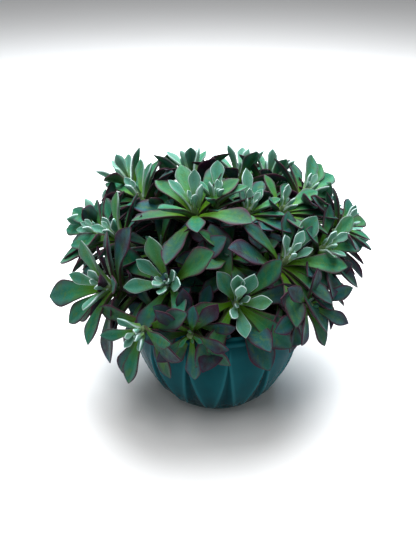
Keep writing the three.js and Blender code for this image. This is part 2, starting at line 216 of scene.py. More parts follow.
def leaf_material():
    n = Nodes("leaf", Sheen_Weight=0.05, Sheen_Roughness=0.35, IOR=1.33, Specular_IOR_Level=0.15)
    n.shader.inputs["Sheen Tint"].default_value = (0.6, 0.95, 1.0, 1)
    age, along, rim, under, tone = (n.attribute(k) for k in ("age", "along", "rim", "under", "tone"))
    cloud = n.noise(55, 4)
    fleck = n.noise(1500, 2)
    # the colour follows a leaf's age, unevenly over its face
    worn_age = n.math("ADD", age, n.times(n.math("SUBTRACT", cloud, 0.5), 0.42))
    face = n.ramp(worn_age, [
        (0.0, (0.175, 0.345, 0.255)), (0.22, (0.115, 0.260, 0.195)), (0.45, (0.075, 0.195, 0.138)),
        (0.68, (0.052, 0.160, 0.092)), (0.88, (0.034, 0.125, 0.078)), (1.0, (0.024, 0.078, 0.078)),
    ])
    # some leaves lean to olive, and the older ones carry a blue-grey bloom towards the tip
    olive = n.times(n.span(tone, 0.6, 0.98, 0.0, 0.5), n.span(age, 0.25, 0.7))
    face = n.mix(olive, face, n.mix(age, (0.13, 0.24, 0.055), (0.052, 0.095, 0.022)))
    bloom = n.times(n.span(age, 0.4, 0.9), n.span(along, 0.45, 0.95), n.span(tone, 0.6, 0.2, 0.12, 0.45))
    face = n.mix(bloom, face, (0.075, 0.115, 0.145))
    # the lower part of a leaf and its midrib are a yellower green, the blade of a young one is paler
    low = n.times(n.span(along, 0.66, 0.15), 0.82)
    face = n.mix(low, face, n.mix(age, (0.17, 0.29, 0.055), (0.085, 0.150, 0.022)))
    blade = n.times(n.span(rim, 0.25, 0.85), n.span(age, 0.9, 0.2, 0.04, 0.32))
    face = n.mix(blade, face, (0.21, 0.33, 0.24))
    midrib = n.times(n.span(rim, 0.16, 0.02), n.span(along, 1.0, 0.4), 0.35)
    face = n.mix(midrib, face, (0.10, 0.20, 0.08))
    # painted shade darkens grown leaves down the channel; they also have paler streaks
    painted_channel_shade = n.times(n.span(rim, 0.55, 0.1), n.span(along, 0.35, 0.7), n.span(age, 0.3, 0.8, 0.1, 0.4))
    face = n.mix(painted_channel_shade, face, (0.020, 0.070, 0.035))
    streak = n.noise(230, 3, 0.6, (1, 1, 0.3))
    dapple = n.times(n.span(streak, 0.48, 0.66), n.span(age, 0.25, 0.6, 0.15, 0.42))
    face = n.mix(dapple, face, (0.085, 0.135, 0.040))
    # older leaves flush purple, most of all towards the tip and underneath
    above = n.times(n.span(age, 0.72, 1.05), n.span(along, 0.25, 0.95), n.span(cloud, 0.3, 0.62),
                    n.span(tone, 0.55, 0.25, 0.25, 1.15), 0.85)
    below = n.times(under, n.span(age, 0.5, 1.0), 0.35)
    face = n.mix(n.math("ADD", above, below, True), face, (0.030, 0.011, 0.021))
    # the purple comes in from the margin, in blotches
    mottle = n.noise(150, 3)
    inward = n.times(n.span(rim, 0.40, 0.97), n.span(along, 0.25, 0.85), n.span(age, 0.40, 0.85),
                     n.span(mottle, 0.25, 0.6, 0.35, 0.9))
    face = n.mix(inward, face, (0.036, 0.014, 0.030))
    # a coloured band inside the margin, then the downy margin itself
    band = n.times(n.span(rim, 0.80, 0.95), n.span(age, 0.35, 0.9, 0.25, 1.0), 0.85)
    face = n.mix(band, face, (0.034, 0.007, 0.014))
    down = n.times(n.span(rim, 0.86, 0.96), n.span(age, 0.72, 0.35, 0.02, 1.0))
    face = n.mix(down, face, (0.50, 0.60, 0.55))
    hairs = n.times(n.span(fleck, 0.55, 0.75), n.span(age, 1.0, 0.1, 0.05, 0.22))
    face = n.mix(hairs, face, (0.45, 0.56, 0.50))
    # no two leaves are quite as light, and the older ones are deeper in colour
    face = n.mix(1.0, face, n.math("ADD", n.times(tone, 0.35), 0.82), "MULTIPLY")
    face = n.mix(1.0, face, (0.98, 1.03, 1.10), "MULTIPLY")
    richer = n.add("ShaderNodeHueSaturation")
    n.link(n.span(age, 0.15, 0.75, 1.04, 1.30), richer.inputs["Saturation"])
    n.link(face, richer.inputs["Color"])
    face = richer.outputs[0]
    vein = n.noise(420, 3, 0.6, (1, 1, 0.35))
    n.bump([(cloud, 0.35, 0.003), (vein, 0.3, 0.001), (fleck, 0.4, 0.0006)])
    return n.finish(face, n.span(cloud, 0.3, 0.7, 0.42, 0.58))


def stem_material():
    n = Nodes("stem", Sheen_Weight=0.2, Sheen_Roughness=0.5)
    height = n.attribute("along")
    cloud = n.noise(160, 4)
    scars = n.noise(900, 3)
    skin = n.ramp(n.math("ADD", height, n.times(n.math("SUBTRACT", cloud, 0.5), 0.5)), [
        (0.0, (0.025, 0.020, 0.018)), (0.35, (0.026, 0.034, 0.024)), (0.6, (0.045, 0.080, 0.030)),
        (1.0, (0.12, 0.20, 0.07)),
    ])
    skin = n.mix(n.times(n.span(scars, 0.55, 0.7), 0.4), skin, (0.09, 0.10, 0.06))
    n.bump([(cloud, 0.5, 0.003), (scars, 0.4, 0.001)])
    return n.finish(skin, 0.62)


def glaze_material():
    n = Nodes("glaze", IOR=1.2, Specular_IOR_Level=0.1)
    n.shader.inputs["Specular Tint"].default_value = (0.4, 0.9, 1.0, 1)
    relief = n.attribute("relief")
    foot = n.attribute("foot")
    cloud = n.noise(28, 4)
    streak = n.noise(60, 5, 0.6, (1, 1, 0.22))
    grain = n.noise(520, 3)
    glaze = n.ramp(n.math("ADD", n.times(cloud, 0.55), n.times(streak, 0.45)), [
        (0.28, (0.0002, 0.018, 0.024)), (0.5, (0.0003, 0.030, 0.038)), (0.72, (0.0008, 0.046, 0.057)),
    ])
    # painted highlight along the ridges, where the glaze also runs thin; the valleys are darker
    glaze = n.mix(n.times(n.span(relief, 0.40, 1.0), 0.55), glaze, (0.022, 0.145, 0.170))
    glaze = n.mix(n.times(n.span(relief, 0.4, 0.0), 0.5), glaze, (0.001, 0.016, 0.022))
    # and is paler at the foot, unevenly
    glaze = n.mix(n.times(foot, n.span(streak, 0.40, 0.58, 0.35, 1.0)), glaze, (0.075, 0.210, 0.220))
    n.bump([(streak, 0.25, 0.0014), (cloud, 0.3, 0.002), (grain, 0.06, 0.0003)])
    return n.finish(glaze, n.span(cloud, 0.3, 0.7, 0.10, 0.2))


def soil_material():
    n = Nodes("potting_mix", Specular_IOR_Level=0.2)
    clod = n.noise(140, 6, 0.7)
    crumb = n.noise(620, 4, 0.7)
    earth = n.ramp(clod, [
        (0.3, (0.010, 0.007, 0.005)), (0.55, (0.035, 0.024, 0.016)), (0.75, (0.085, 0.060, 0.040)),
    ])
    earth = n.mix(n.times(n.span(crumb, 0.6, 0.7), 0.5), earth, (0.14, 0.10, 0.07))
    n.bump([(clod, 0.8, 0.004), (crumb, 0.7, 0.0015)])
    return n.finish(earth, 0.95)


def grit_material():
    n = Nodes("grit", Specular_IOR_Level=0.3)
    tone = n.attribute("tone")
    speck = n.noise(700, 4)
    stone = n.ramp(tone, [
        (0.0, (0.045, 0.028, 0.018)), (0.55, (0.12, 0.075, 0.045)), (0.8, (0.35, 0.32, 0.27)),
        (1.0, (0.55, 0.53, 0.48)),
    ])
    stone = n.mix(n.times(n.span(speck, 0.5, 0.7), 0.4), stone, (0.03, 0.02, 0.015))
    n.bump([(speck, 0.6, 0.0012)])
    return n.finish(stone, 0.85)


def floor_material():
    n = Nodes("floor", Specular_IOR_Level=0.2)
    cloud = n.noise(3, 2)
    return n.finish(n.mix(cloud, (0.90, 0.90, 0.90), (0.93, 0.93, 0.93)), 0.9)


# ------------------------------------------------------------------ mesh helpers
def add_mesh(name, vertices, faces, materials, attributes, face_material=None):
    """A smooth mesh object. attributes: name to one number per vertex."""
    mesh = bpy.data.meshes.new(name)
    mesh.from_pydata(vertices.tolist(), [], faces)
    for key, values in attributes.items():
        layer = mesh.attributes.new(key, "FLOAT", "POINT")
        layer.data.foreach_set("value", np.asarray(values, dtype=np.float32))
    for material in materials:
        mesh.materials.append(material)
    if face_material is not None:
        mesh.polygons.foreach_set("material_index", np.asarray(face_material, dtype=np.int32))
    mesh.polygons.foreach_set("use_smooth", np.ones(len(faces), dtype=bool))
    mesh.update()
    obj = bpy.data.objects.new(name, mesh)
    scene.collection.objects.link(obj)
    return obj


def ring_faces(rings, around):
    """Quads between successive closed rings of vertices."""
    faces = []
    for i in range(rings - 1):
        for j in range(around):
            k = (j + 1) % around
            faces.append((i * around + j, i * around + k, (i + 1) * around + k, (i + 1) * around + j))
    return faces


def closed_faces(rings, around):
    """The same, with both ends capped."""
    faces = ring_faces(rings, around)
    faces.append(tuple(reversed(range(around))))
    faces.append(tuple((rings - 1) * around + j for j in range(around)))
    return faces


def circle(radius, height, turns):
    radius = np.broadcast_to(radius, turns.shape)
    return np.stack([radius * np.cos(turns), radius * np.sin(turns), np.full(turns.shape, height)], -1)


def spin_about_z(angle):
    c, s = math.cos(angle), math.sin(angle)
    return np.array([[c, -s, 0], [s, c, 0], [0, 0, 1]])


def turn_up_to(heading):
    """The shortest turn that takes +Z to a direction."""
    x, y, z = heading
    cross = np.array([[0, 0, x], [0, 0, y], [-x, -y, 0]])
    return np.eye(3) + cross + cross @ cross / (1 + z)


def blend(a, b, share):
    return a + (b - a) * share


def whim(shoot, leaf, use):
    """A repeatable number from 0 to 1, the same one the solid model draws."""
    wave = math.sin(shoot * 12.9898 + leaf * 78.233 + use * 37.719) * 43758.5453
    return wave - math.floor(wave)


# ------------------------------------------------------------------ the plant
# around, reach, rise: where a rosette's heart is; facing, lean: how it tilts;
# leaves: [direction round the heart, age, length in mm], from youngest to oldest.
FRONT_SHOOTS = [
  {
    "around": -76, "reach": 0.86, "rise": 32, "facing": -80, "lean": 40,
    "leaves": [
      [98, 0.22, 32], [-115, 0.3, 27], [108, 0.45, 38], [76, 0.5, 40], [10, 0.5, 34], [-76, 0.5, 37],
      [134, 0.62, 46], [197, 0.85, 50], [50, 0.85, 54], [-31, 0.85, 62], [-114, 0.85, 50],
      [19, 1, 58], [-56, 1, 66], [-116, 1, 64], [-24, 1.05, 70],
    ],
  },
  {
    "around": -129, "reach": 0.83, "rise": 42, "facing": -108, "lean": 36,
    "leaves": [
      [-125, 0.18, 24], [-88, 0.35, 27], [5, 0.42, 28], [-30, 0.45, 36], [125, 0.5, 36], [182, 0.55, 40],
      [86, 0.6, 46], [-60, 0.68, 44], [137, 0.9, 62], [8, 0.9, 64], [-132, 0.9, 50], [164, 1, 50],
      [-112, 1.1, 58],
    ],
  },
  {
    "around": -31, "reach": 0.86, "rise": 58, "facing": -55, "lean": 26,
    "leaves": [
      [72, 0.25, 28], [140, 0.3, 24], [15, 0.4, 26], [74, 0.55, 48], [8, 0.75, 56], [110, 0.8, 46],
      [-10, 0.85, 58], [-36, 0.88, 56], [168, 0.9, 54], [-28, 1, 60], [-40, 1, 70], [-72, 1.05, 60],
    ],
  },
  {
    "around": -157, "reach": 1.32, "rise": 30, "facing": -116, "lean": 40,
    "leaves": [
      [90, 0.18, 22], [-105, 0.42, 36], [138, 0.5, 36], [60, 0.62, 50], [157, 0.8, 70], [186, 0.8, 58],
      [236, 0.85, 54], [118, 0.9, 54], [-30, 0.9, 48], [40, 0.95, 52], [178, 0.94, 60], [135, 1.05, 56],
      [236, 1.05, 66],
    ],
  },
  {
    "around": -166, "reach": 0.26, "rise": 92, "facing": -100, "lean": 10,
    "leaves": [
      [-30, 0.12, 26], [82, 0.35, 34], [150, 0.45, 34], [110, 0.6, 46], [58, 0.75, 56], [140, 0.8, 50],
      [24, 0.85, 50], [-86, 0.85, 46], [226, 0.7, 46], [194, 0.95, 56], [-35, 0.95, 60], [126, 0.98, 50],
      [248, 1.1, 64],
    ],
  },
  {
    "around": -129, "reach": 1.27, "rise": 9, "facing": -112, "lean": 64,
    "leaves": [
      [30, 0.12, 16], [-140, 0.35, 20], [-60, 0.35, 22], [95, 0.45, 26], [168, 0.7, 38], [-19, 0.8, 42],
      [-122, 0.8, 50], [-42, 0.95, 50], [-141, 1, 52],
    ],
  },
  {
    "around": 11, "reach": 0.34, "rise": 83, "facing": -50, "lean": 14,
    "leaves": [
      [40, 0.12, 18], [150, 0.35, 22], [112, 0.4, 38], [50, 0.5, 24], [0, 0.62, 32], [-95, 0.8, 34],
      [160, 0.8, 36], [-22, 0.85, 36], [75, 0.9, 44], [-38, 0.95, 46],
    ],
  },
  {
    "around": 15, "reach": 0.74, "rise": 80, "facing": -30, "lean": 18,
    "leaves": [
      [100, 0.2, 22], [-50, 0.35, 20], [38, 0.65, 44], [224, 0.7, 32], [20, 0.75, 44], [85, 0.75, 38],
      [140, 0.75, 38], [2, 0.85, 54], [-30, 0.95, 48], [-78, 0.95, 46],
    ],
  },
  {
    "around": -7, "reach": 1.16, "rise": 54, "facing": -45, "lean": 34,
    "leaves": [
      [40, 0.3, 26], [-40, 0.45, 24], [66, 0.6, 44], [-100, 0.6, 34], [22, 0.75, 44], [200, 0.8, 42],
      [104, 0.85, 46], [-20, 0.95, 50], [-70, 0.95, 50],
    ],
  },
  {
    "around": 9, "reach": 1.44, "rise": 60, "facing": -20, "lean": 40,
    "leaves": [
      [110, 0.3, 22], [-4, 0.75, 32], [160, 0.8, 38], [88, 0.8, 38], [48, 0.85, 42], [-40, 0.85, 36],
      [-90, 0.95, 44],
    ],
  },
  {
    "around": 31, "reach": 1.19, "rise": 78, "facing": -5, "lean": 26,
    "leaves": [
      [70, 0.15, 20], [-40, 0.4, 26], [98, 0.6, 50], [76, 0.62, 52], [60, 0.68, 54], [170, 0.8, 46],
      [10, 0.85, 48], [46, 0.85, 54], [112, 0.85, 54], [-80, 0.9, 46], [-12, 0.92, 46], [34, 0.95, 50],
      [124, 1, 56],
    ],
  },
  {
    "around": 148, "reach": 1.08, "rise": 76, "facing": 190, "lean": 24,
    "leaves": [
      [118, 0.35, 24], [10, 0.5, 36], [66, 0.55, 42], [48, 0.7, 46], [134, 0.7, 54], [88, 0.8, 52],
      [118, 0.85, 50], [-90, 0.85, 42], [150, 0.88, 46], [-130, 0.9, 42], [112, 0.92, 54],
      [-30, 0.95, 54], [190, 0.95, 46], [98, 1, 54],
    ],
  },
  {
    "around": 179, "reach": 1.15, "rise": 59, "facing": 222, "lean": 30,
    "leaves": [
      [100, 0.15, 18], [-30, 0.42, 28], [150, 0.45, 26], [45, 0.6, 42], [84, 0.72, 46],
      [165, 0.72, 52], [168, 0.84, 72], [20, 0.85, 46], [262, 0.85, 42], [118, 0.88, 48], [186, 0.9, 50],
      [-60, 0.9, 34], [-20, 0.92, 46],
    ],
  },
  {
    "around": 169, "reach": 1.40, "rise": 50, "facing": 205, "lean": 42,
    "leaves": [
      [150, 0.2, 18], [165, 0.45, 24], [115, 0.65, 46], [140, 0.72, 50], [106, 0.8, 46], [80, 0.8, 42],
      [152, 0.85, 48], [60, 0.85, 42], [128, 0.9, 48], [190, 0.9, 48], [-80, 0.9, 42], [225, 1, 50],
    ],
  },
  {
    "around": 100, "reach": 0.07, "rise": 94, "facing": -60, "lean": 8,
    "leaves": [
      [100, 0.15, 16], [-60, 0.25, 16], [95, 0.5, 36], [170, 0.5, 24], [5, 0.6, 30], [-110, 0.7, 26],
    ],
  },
]
# spin, count, length: leaves a golden angle apart, growing up to that length; age is that of
# the youngest leaf on a shaded shoot.
# a shoot given an age is shaded, and its leaf colours are darkened as painted shade
BACK_SHOOTS = [
  { "around": 90, "reach": 0.33, "rise": 76, "facing": 90, "lean": 6,
    "spin": 170, "count": 8, "length": 46 },
  { "around": 137, "reach": 1.48, "rise": 74, "facing": 137, "lean": 40,
    "spin": 150, "count": 8, "length": 48 },
  { "around": 109, "reach": 1.00, "rise": 84, "facing": 109, "lean": 24,
    "spin": 230, "count": 9, "length": 52 },
  { "around": 75, "reach": 0.98, "rise": 84, "facing": 75, "lean": 24,
    "spin": 310, "count": 9, "length": 50 },
  { "around": 57, "reach": 1.12, "rise": 80, "facing": 57, "lean": 30,
    "spin": 94, "count": 8, "length": 48 },
  { "around": 90, "reach": 1.42, "rise": 46, "facing": 90, "lean": 52,
    "spin": 0, "count": 9, "length": 60 },
  { "around": 115, "reach": 1.45, "rise": 46, "facing": 115, "lean": 52,
    "spin": 190, "count": 9, "length": 58 },
  { "around": 65, "reach": 1.45, "rise": 44, "facing": 65, "lean": 52,
    "spin": 110, "count": 9, "length": 58 },
  { "around": 40, "reach": 1.54, "rise": 40, "facing": 40, "lean": 56,
    "spin": 60, "count": 8, "length": 52 },
  { "around": 153, "reach": 1.56, "rise": 36, "facing": 153, "lean": 58,
    "spin": 330, "count": 7, "length": 54 },
  { "around": 24, "reach": 1.54, "rise": 34, "facing": 24, "lean": 58,
    "spin": 240, "count": 7, "length": 54 },
  { "around": 100, "reach": 1.22, "rise": 14, "facing": 100, "lean": 74,
    "spin": 40, "count": 7, "length": 54 },
  { "around": 130, "reach": 1.24, "rise": 14, "facing": 130, "lean": 74,
    "spin": 160, "count": 7, "length": 54 },
  { "around": 49, "reach": 1.24, "rise": 14, "facing": 49, "lean": 74,
    "spin": 290, "count": 7, "length": 54 },
  { "around": -36, "reach": 1.20, "rise": 22, "facing": -60, "lean": 56,
    "spin": 350, "count": 8, "length": 48, "age": 0.6 },
  { "around": -170, "reach": 1.24, "rise": 13, "facing": -172, "lean": 72,
    "spin": 120, "count": 7, "length": 50, "age": 0.5 },
  { "around": 1, "reach": 1.26, "rise": 13, "facing": 1, "lean": 72,
    "spin": 220, "count": 7, "length": 50, "age": 0.5 },
  { "around": -104, "reach": 1.12, "rise": 12, "facing": -100, "lean": 60,
    "spin": 70, "count": 7, "length": 44, "age": 0.65 },
  { "around": -70, "reach": 0.38, "rise": 56, "facing": -70, "lean": 14,
    "spin": 180, "count": 8, "length": 50, "age": 0.45 },
  { "around": 144, "reach": 0.66, "rise": 64, "facing": 144, "lean": 18,
    "spin": 340, "count": 8, "length": 48, "age": 0.3 },
  { "around": 48, "reach": 0.68, "rise": 66, "facing": 48, "lean": 20,
    "spin": 0, "count": 8, "length": 48, "age": 0.3 },
  { "around": -168, "reach": 0.66, "rise": 54, "facing": -168, "lean": 20,
    "spin": 250, "count": 8, "length": 50, "age": 0.4 },
]
SHOOTS = FRONT_SHOOTS + BACK_SHOOTS

STEM_RADIUS = 3.4 * MM
STEM_TAPER = 0.8               # radius at the heart of a rosette, as a share of the one at the root
STEM_RINGS, STEM_SIDES = 44, 14
ROOT_DEPTH = 10 * MM           # how deep a stem goes into the mix
ROOT_START, ROOT_SPREAD = 0.05, 0.47
LEAFY_SHARE = 0.26             # length of stem that carries leaves, in lengths of the longest leaf
LEAF_SLIMNESS = 0.335          # width of a leaf as a share of its length
LEAF_THICKNESS = 3.4 * MM
BUDS = 4                       # small leaves in the heart of a rosette
OLDEST = 1.1                   # past this age a leaf opens no further, it only sits lower
DULLEST = 1.05                 # past this age a leaf's colour stays the same
# painted shade: the leaves of a shaded shoot are coloured as older, darker leaves
PAINTED_SHADE_AGE = 0.3                   # how much older the leaves of a shaded shoot look
SKIRT = 11                     # old leaves on the stem below each rosette
SKIRT_AGE = 0.85               # how much older than the rosette's last leaf the lowest one is
HEART_ROOM = 15 * MM           # an old leaf stays this clear of a neighbour's heart
BARE_FOOT = 22 * MM            # length of stem above the root that carries no leaf
SOIL_DEPTH = 14 * MM
SOIL_CROWN = 6 * MM
SOIL_EDGE = 78 * MM


def soil_top(radius):
    return RIM - SOIL_DEPTH + SOIL_CROWN * (1 - (radius / SOIL_EDGE) ** 2)


def leaves_of(shoot, index):
    """A shoot's leaves: its own list, or as many as it counts, spaced by the golden angle."""
    if "leaves" in shoot:
        return shoot["leaves"]
    leaves = []
    for leaf in range(shoot["count"]):
        age = blend(shoot.get("age", 0), 1, (leaf + 1) / shoot["count"])
        turn = shoot["spin"] + leaf * GOLDEN_ANGLE + blend(-9, 9, whim(index, leaf, 4))
        length = shoot["length"] * blend(0.42, 1, age ** 0.7) * blend(0.9, 1.06, whim(index, leaf, 1))
        leaves.append([turn, age, length])
    return leaves


def direction(degrees):
    return np.array([math.cos(math.radians(degrees)), math.sin(math.radians(degrees)), 0.0])


class Stem:
    """The line of a stem: straight up out of the mix, then arching over to its rosette's heart.

    t runs from 0 at the root to 1 at the heart.
    """

    def __init__(self, shoot):
        lean = math.radians(shoot["lean"])
        outward = direction(shoot["around"])
        axis = direction(shoot["facing"]) * math.sin(lean) + np.array([0, 0, math.cos(lean)])
        heart = outward * shoot["reach"] * POT_RADIUS + np.array([0, 0, RIM + shoot["rise"] * MM])
        root_reach = POT_RADIUS * (ROOT_START + ROOT_SPREAD * shoot["reach"])
        root = outward * root_reach + np.array([0, 0, soil_top(root_reach) - ROOT_DEPTH])
        climb = np.array([0, 0, 0.45 * (heart[2] - root[2]) + 22 * MM])
        self.knots = [root, root + climb, heart - axis * 0.3 * np.linalg.norm(root - heart), heart]
        self.steps = np.linspace(0, 1, 161)
        points = self.at(self.steps)
        gaps = np.linalg.norm(np.diff(points, axis=0), axis=1)
        self.lengths = np.concatenate([[0], np.cumsum(gaps)])

    def at(self, t):
        t = np.asarray(t)[..., None]
        a, b, c, d = self.knots
        return (1 - t) ** 3 * a + 3 * (1 - t) ** 2 * t * b + 3 * (1 - t) * t * t * c + t ** 3 * d

    def heading(self, t):
        a, b, c, d = self.knots
        way = (1 - t) ** 2 * (b - a) + 2 * (1 - t) * t * (c - b) + t * t * (d - c)
        return way / np.linalg.norm(way)

    def place(self, below):
        """The point a length below the heart, and the turn that takes +Z along the stem there."""
        t = np.interp(max(self.lengths[-1] - below, 0), self.lengths, self.steps)
        return self.at(t), turn_up_to(self.heading(t))


# Half-width of a leaf along its length, as a share of its widest: a narrow neck, then a broad
# spoon that ends in a short point.
OUTLINE = np.array([
    (0.0, 0.36), (0.08, 0.27), (0.2, 0.29), (0.34, 0.42), (0.46, 0.60), (0.56, 0.77), (0.64, 0.90),
    (0.70, 0.98), (0.75, 1.0), (0.81, 0.91), (0.87, 0.72), (0.92, 0.50), (0.96, 0.27), (1.0, 0.03),
])
LEAF_RINGS = 26
LEAF_ACROSS = 10
STATIONS = np.sin(np.linspace(0, 1, LEAF_RINGS) * math.pi / 2) ** 1.15


def smooth_outline(along):
    """Half-widths from the outline, with its corners rounded."""
    fine = np.interp(np.linspace(0, 1, 401), OUTLINE[:, 0], OUTLINE[:, 1])
    kernel = np.hanning(11)
    padded = np.concatenate([np.full(5, fine[0]), fine, -fine[-2:-7:-1]])
    soft = np.convolve(padded, kernel / kernel.sum(), "valid")
    return np.maximum(np.interp(along, np.linspace(0, 1, 401), soft), 0.02)


WIDTHS = smooth_outline(STATIONS)


def leaf_shape(length, age, draw):
    """One leaf in its own axes: growing along +X from the stem, the rosette's axis along +Z.

    draw(n) gives a repeatable number from 0 to 1. Returns the vertices and their attributes.
    """
    s = STATIONS[:, None]
    young = max(0.0, 1 - age / 0.45)
    old = max(0.0, (age - 0.6) / 0.5)
    grown = min(age, 1.0)
    start = math.radians(blend(6, 60, age) + blend(-5, 5, draw(2)))
    bend = math.radians(blend(16, 40, age) + blend(-9, 9, draw(3)))
    width = length * blend(LEAF_SLIMNESS, LEAF_SLIMNESS + 0.02, age) * blend(0.92, 1.08, draw(5))
    thickness = LEAF_THICKNESS * blend(0.95, 1.0, age) * min(1.0, length / (22 * MM))
    half = WIDTHS[:, None] * width / 2

    across = np.sin(np.linspace(-1, 1, LEAF_ACROSS + 1) * math.pi / 2)
    x = np.concatenate([across, across[-2:0:-1]])[None, :]
    top = np.concatenate([np.ones(LEAF_ACROSS + 1), -np.ones(LEAF_ACROSS - 1)])[None, :]

    # cross-section: fleshy, with a channelled face and a keeled back
    channel = blend(0.55, 0.34, grown) * blend(0.7, 1.25, draw(6)) * (1 - 0.35 * s)
    mid = half * channel * np.abs(x) ** 1.45
    body = thickness * (1.2 - 0.55 * s) * (1 - s ** 7 * 0.75) * (1 + 0.35 * young)
    swell = body * np.sqrt(np.clip(1 - np.abs(x) ** 2.6, 0, 1)) + 0.35 * MM * (np.abs(x) < 0.999)
    lift = mid + np.where(top > 0, 0.30, -0.70) * swell
    lift += np.where(top < 0, -0.35, 0) * body * np.exp(-(x / 0.22) ** 2) * (1 - 0.6 * s)
    lift += half * 0.05 * old * np.sin(9 * s + 6 * draw(7)) * np.abs(x) ** 2 * np.sign(x)

    # midrib line: arching outward, the very tip turned in again
    angle = start + bend * s / 2
    outer = np.clip((s - 0.55) / 0.45, 0, 1)
    curl = blend(0.10, 0.03, grown) * length * outer ** 2
    tilt = start + bend * s - math.radians(blend(34, 12, grown)) * outer
    centre_x = np.sin(angle) * s * length
    centre_z = np.cos(angle) * s * length
    along_x = centre_x - np.cos(tilt) * (curl + lift)
    along_z = centre_z + np.sin(tilt) * (curl + lift)
    side = x * half + (draw(8) - 0.5) * 0.12 * length * s ** 2

    # a slight twist towards the tip
    roll = (draw(9) - 0.5) * math.radians(34) * s
    rise_x, rise_z = along_x - centre_x, along_z - centre_z
    height = -rise_x * np.cos(tilt) + rise_z * np.sin(tilt)
    new_height = height * np.cos(roll) + side * np.sin(roll)
    new_side = side * np.cos(roll) - height * np.sin(roll)
    px = centre_x - np.cos(tilt) * new_height
    pz = centre_z + np.sin(tilt) * new_height
    points = np.stack([px, new_side + 0 * px, pz], -1).reshape(-1, 3)

    tipward = np.clip((s - 0.93) / 0.07, 0, 1) + 0 * x
    rim = np.maximum(np.abs(x) + 0 * s, tipward)
    attributes = {
        "along": (s + 0 * x).ravel(),
        "rim": rim.ravel(),
        "under": np.where(top + 0 * s < 0, 1.0, 0.0).ravel(),
    }
    return points, attributes


LEAF_RING = 2 * LEAF_ACROSS
LEAF_FACES = [tuple(reversed(f)) for f in ring_faces(LEAF_RINGS, LEAF_RING)]
LEAF_FACES.append(tuple(range(LEAF_RING)))
LEAF_FACES.append(tuple((LEAF_RINGS - 1) * LEAF_RING + j for j in reversed(range(LEAF_RING))))


def stem_shape(stem):
    """A stem's vertices, its faces, and how far up the stem each vertex is."""
    t = np.interp(np.linspace(0, stem.lengths[-1], STEM_RINGS), stem.lengths, stem.steps)
    points = stem.at(t)
    phi = np.arange(STEM_SIDES) / STEM_SIDES * 2 * math.pi
    shares = np.linspace(0, 1, STEM_RINGS)
    vertices = []
    for i, share in enumerate(shares):
        knuckle = 1 + 0.07 * math.sin(share * 70) + 0.05 * np.sin(3 * phi + share * 31)
        radius = STEM_RADIUS * blend(1, STEM_TAPER, share) * knuckle
        if i == STEM_RINGS - 1:
            radius = radius * 0.55
        vertices.append(points[i] + circle(radius, 0, phi) @ turn_up_to(stem.heading(t[i])).T)
    return np.concatenate(vertices), closed_faces(STEM_RINGS, STEM_SIDES), np.repeat(shares, STEM_SIDES)


# the middle of each rosette, just above its heart
HEARTS = [Stem(row).at(1.0) + Stem(row).heading(1.0) * 8 * MM for row in SHOOTS]


def add_shoot(index, shoot, leaf_skin, stem_skin):
    """One shoot: its stem, the buds and leaves of its rosette, and the old leaves below."""
    stem = Stem(shoot)
    neighbours = [place for number, place in enumerate(HEARTS) if number != index]
    leaves = leaves_of(shoot, index)
    last_turn = leaves[-1][0]
    longest = max(leaf[2] for leaf in leaves)
    youngest = 0.5 * shoot.get("age", 0)
    painted_shade = PAINTED_SHADE_AGE if "age" in shoot else 0
    straightest = 0.88 if "leaves" in shoot else 0.76
    buds = [
        [shoot["around"] + 40 + GOLDEN_ANGLE * k, youngest + 0.02 + 0.045 * k, 8 + 3.5 * k]
        for k in range(BUDS)
    ]
    skirt = [
        [last_turn + GOLDEN_ANGLE * k, 1.0 + SKIRT_AGE * k / SKIRT, longest * blend(1.0, 0.8, k / SKIRT)]
        for k in range(1, SKIRT + 1)
    ]
    vertices, faces, along = stem_shape(stem)
    parts = [vertices]
    slots = [1] * len(faces)
    none = 0 * along
    attributes = {"along": [along], "age": [none], "rim": [none], "under": [none], "tone": [none + 0.5]}
    offset = len(vertices)
    for number, (turn, age, length) in enumerate(leaves + buds + skirt):
        def draw(use):
            return whim(index, number, use)

        below = (age + 2 * max(0, age - 1)) * longest * LEAFY_SHARE * MM
        sunk = age > OLDEST
        if sunk and below > stem.lengths[-1] - BARE_FOOT:
            continue
        spread = blend(straightest, OLDEST, draw(12)) if sunk else age
        points, local = leaf_shape(length * MM, spread, draw)
        points[:, 0] += STEM_RADIUS * 0.5
        origin, tilt = stem.place(below)
        points = points @ (tilt @ spin_about_z(math.radians(turn))).T + origin
        if sunk and min(np.linalg.norm(points - heart, axis=1).min() for heart in neighbours) < HEART_ROOM:
            continue
        parts.append(points)
        faces += [tuple(offset + v for v in face) for face in LEAF_FACES]
        slots += [0] * len(LEAF_FACES)
        offset += len(points)
        # a shaded shoot's leaves take the darker colour of older ones, as painted shade
        local["age"] = np.full(len(points), min(age + painted_shade, DULLEST))
        local["tone"] = np.full(len(points), draw(11))
        for key, values in local.items():
            attributes[key].append(values)
    name = f"shoot_{index + 1:02d}"
    obj = add_mesh(name + "_living", np.concatenate(parts), faces, [leaf_skin, stem_skin],
                   {key: np.concatenate(values) for key, values in attributes.items()}, slots)
    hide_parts(name)
    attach(obj, "root")


# ------------------------------------------------------------------ the pot
FOOT_RADIUS = 52 * MM
FOOT_HEIGHT = 4 * MM
BOWL_START = 54.5 * MM
BELLY = 0.68                   # height of the widest ring, as a share of the pot's height
BELLY_POWER = 1.36             # 1 is a cone, 2 a round bowl
NECK_PULL = 1.6 * MM
BAND = 9 * MM                  # the smooth band under the lip
BAND_PROUD = 1.2 * MM
LIP = 2.4 * MM                 # half the lip's thickness
WALL = 6 * MM
FLOOR = 10 * MM                # height of the pot's inner floor
PETALS = 14                    # pressed petals round the bowl
PETAL_TURN = math.radians(-95.5)
PETAL_DEPTH = 2.1 * MM
POT_SIDES = 448
BOWL_RINGS = 96


